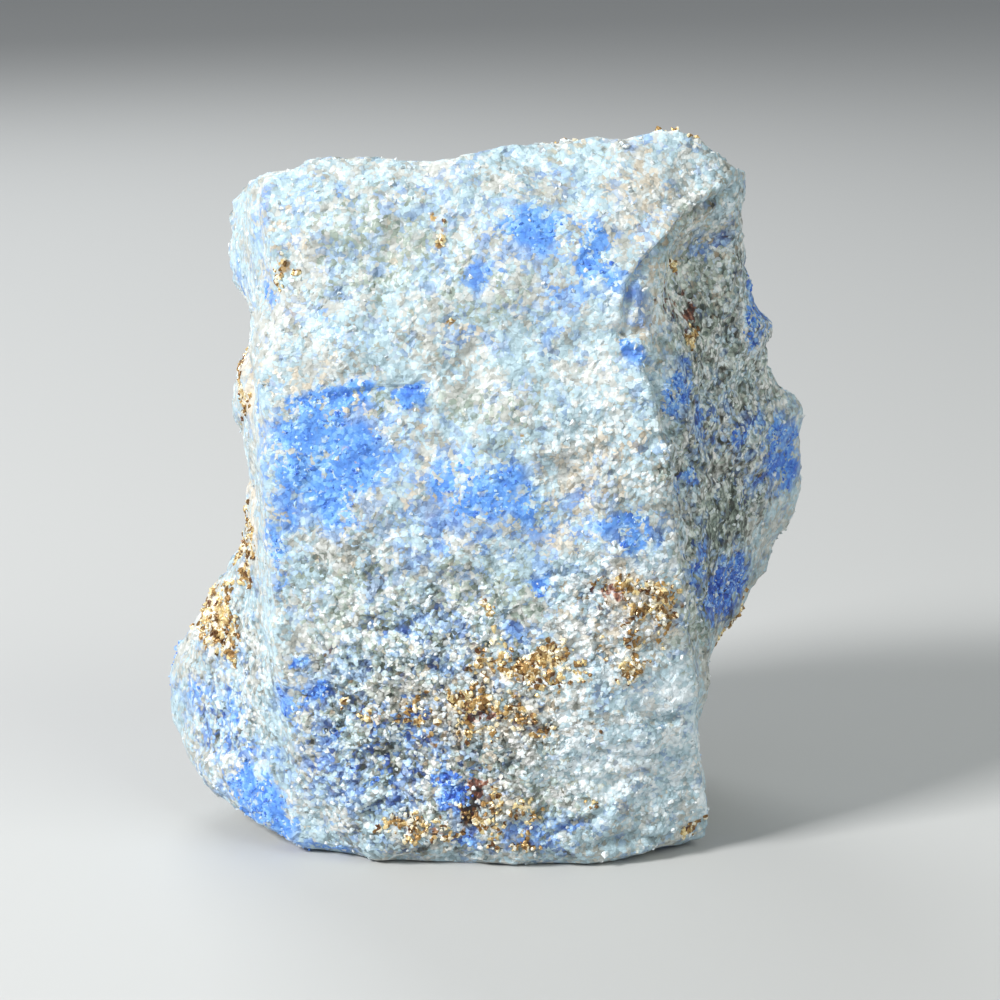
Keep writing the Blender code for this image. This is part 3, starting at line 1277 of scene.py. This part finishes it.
@dataclass
class Studio:
    """A plain pale floor and soft light, the key from the upper left."""

    floor_m: float = 6.0
    floor_colour: Colour = (0.54, 0.54, 0.53)
    floor_roughness: float = 0.7
    sky: Colour = (0.88, 0.94, 1.0)
    sky_strength: float = 0.28
    aim: tuple[float, float, float] = (0.0, 0.0, 0.03)
    lamps: tuple[Lamp, ...] = (
        Lamp("key", (-0.42, -0.28, 0.40), 0.14, 4.8, (0.98, 0.98, 0.98)),
        Lamp("fill", (0.36, -0.28, 0.40), 0.35, 1.1, (0.96, 1.0, 0.92)),
        Lamp("back", (-0.15, 0.40, 0.35), 0.25, 1.0, (0.95, 0.98, 1.0)),
    )

    def build(self) -> None:
        """Makes the floor, the world and the lamps."""
        self.floor()
        world = bpy.data.worlds.new("sky")
        world.use_nodes = True
        backdrop = world.node_tree.nodes["Background"]
        backdrop.inputs["Color"].default_value = (*self.sky, 1.0)
        backdrop.inputs["Strength"].default_value = self.sky_strength
        bpy.context.scene.world = world
        for lamp in self.lamps:
            self.hang(lamp)

    def floor(self) -> None:
        """Makes the floor, which isn't part of the object."""
        shape = bmesh.new()
        bmesh.ops.create_grid(shape, x_segments=1, y_segments=1, size=self.floor_m / 2)
        mesh = bpy.data.meshes.new("floor")
        shape.to_mesh(mesh)
        shape.free()
        graph = Graph("floor_paint")
        graph.shader.inputs["Base Color"].default_value = (*self.floor_colour, 1.0)
        graph.shader.inputs["Roughness"].default_value = self.floor_roughness
        mesh.materials.append(graph.material)
        floor = bpy.data.objects.new("floor", mesh)
        bpy.context.scene.collection.objects.link(floor)

    def hang(self, lamp: Lamp) -> None:
        """Makes one lamp, which looks at the chunk's middle.

        Args:
            lamp: Its name, place, side, power and tint.
        """
        data = bpy.data.lights.new(lamp.name, "AREA")
        data.size = lamp.side
        data.energy = lamp.power
        data.color = lamp.tint
        light = bpy.data.objects.new(lamp.name, data)
        light.location = lamp.place
        ray = Vector(self.aim) - Vector(lamp.place)
        light.rotation_euler = ray.to_track_quat("-Z", "Y").to_euler()
        bpy.context.scene.collection.objects.link(light)


PYRITE_GRAINS = CrystalScatter(
    name="pyrite_grains",
    mineral=Mineral.PYRITE,
    finish=CrystalFinish(
        "pyrite",
        (
            (0.0, (0.12, 0.05, 0.02)),
            (0.35, (0.46, 0.27, 0.09)),
            (0.65, (0.92, 0.74, 0.38)),
            (1.0, (1.0, 0.97, 0.84)),
        ),
        metallic=0.4,
        roughness=(0.22, 0.42),
    ),
    count=3200,
    size_mm=(0.25, 0.62),
    lift=-0.08,
    least=0.2,
    seed=11,
)
LAZURITE_GRAINS = CrystalScatter(
    name="lazurite_grains",
    mineral=Mineral.LAZURITE,
    finish=CrystalFinish(
        "lazurite",
        (
            (0.0, (0.05, 0.15, 0.62)),
            (0.5, (0.14, 0.36, 0.86)),
            (1.0, (0.55, 0.76, 0.96)),
        ),
    ),
    count=2800,
    size_mm=(0.25, 0.45),
    lift=-0.25,
    least=0.58,
    seed=23,
)
CALCITE_GRAINS = CrystalScatter(
    name="calcite_grains",
    mineral=Mineral.CALCITE,
    finish=CrystalFinish(
        "calcite",
        (
            (0.0, (0.32, 0.38, 0.40)),
            (0.5, (0.62, 0.70, 0.73)),
            (1.0, (0.94, 0.96, 0.96)),
        ),
    ),
    count=3000,
    size_mm=(0.25, 0.55),
    lift=-0.2,
    least=-0.12,
    seed=37,
)


def main() -> None:
    """Builds the scene: the camera, the rock's skin, its crystals and the studio."""
    logging.basicConfig(level=logging.INFO, format="%(name)s: %(message)s")
    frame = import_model()
    bpy.context.scene.view_settings.view_transform = "Standard"
    view = Viewpoint()
    view.build()
    skin = RockSkin().build(frame["nodes"][CHUNK_NODE], view)
    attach(skin, "root")
    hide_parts(CHUNK_NODE)
    LOG.info("%s has %d faces", skin.name, len(skin.data.polygons))
    for scatter in (PYRITE_GRAINS, LAZURITE_GRAINS, CALCITE_GRAINS):
        grains = scatter.build(skin)
        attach(grains, "root")
        LOG.info("%s has %d faces", grains.name, len(grains.data.polygons))
    Studio().build()


if __name__ == "__main__":
    main()
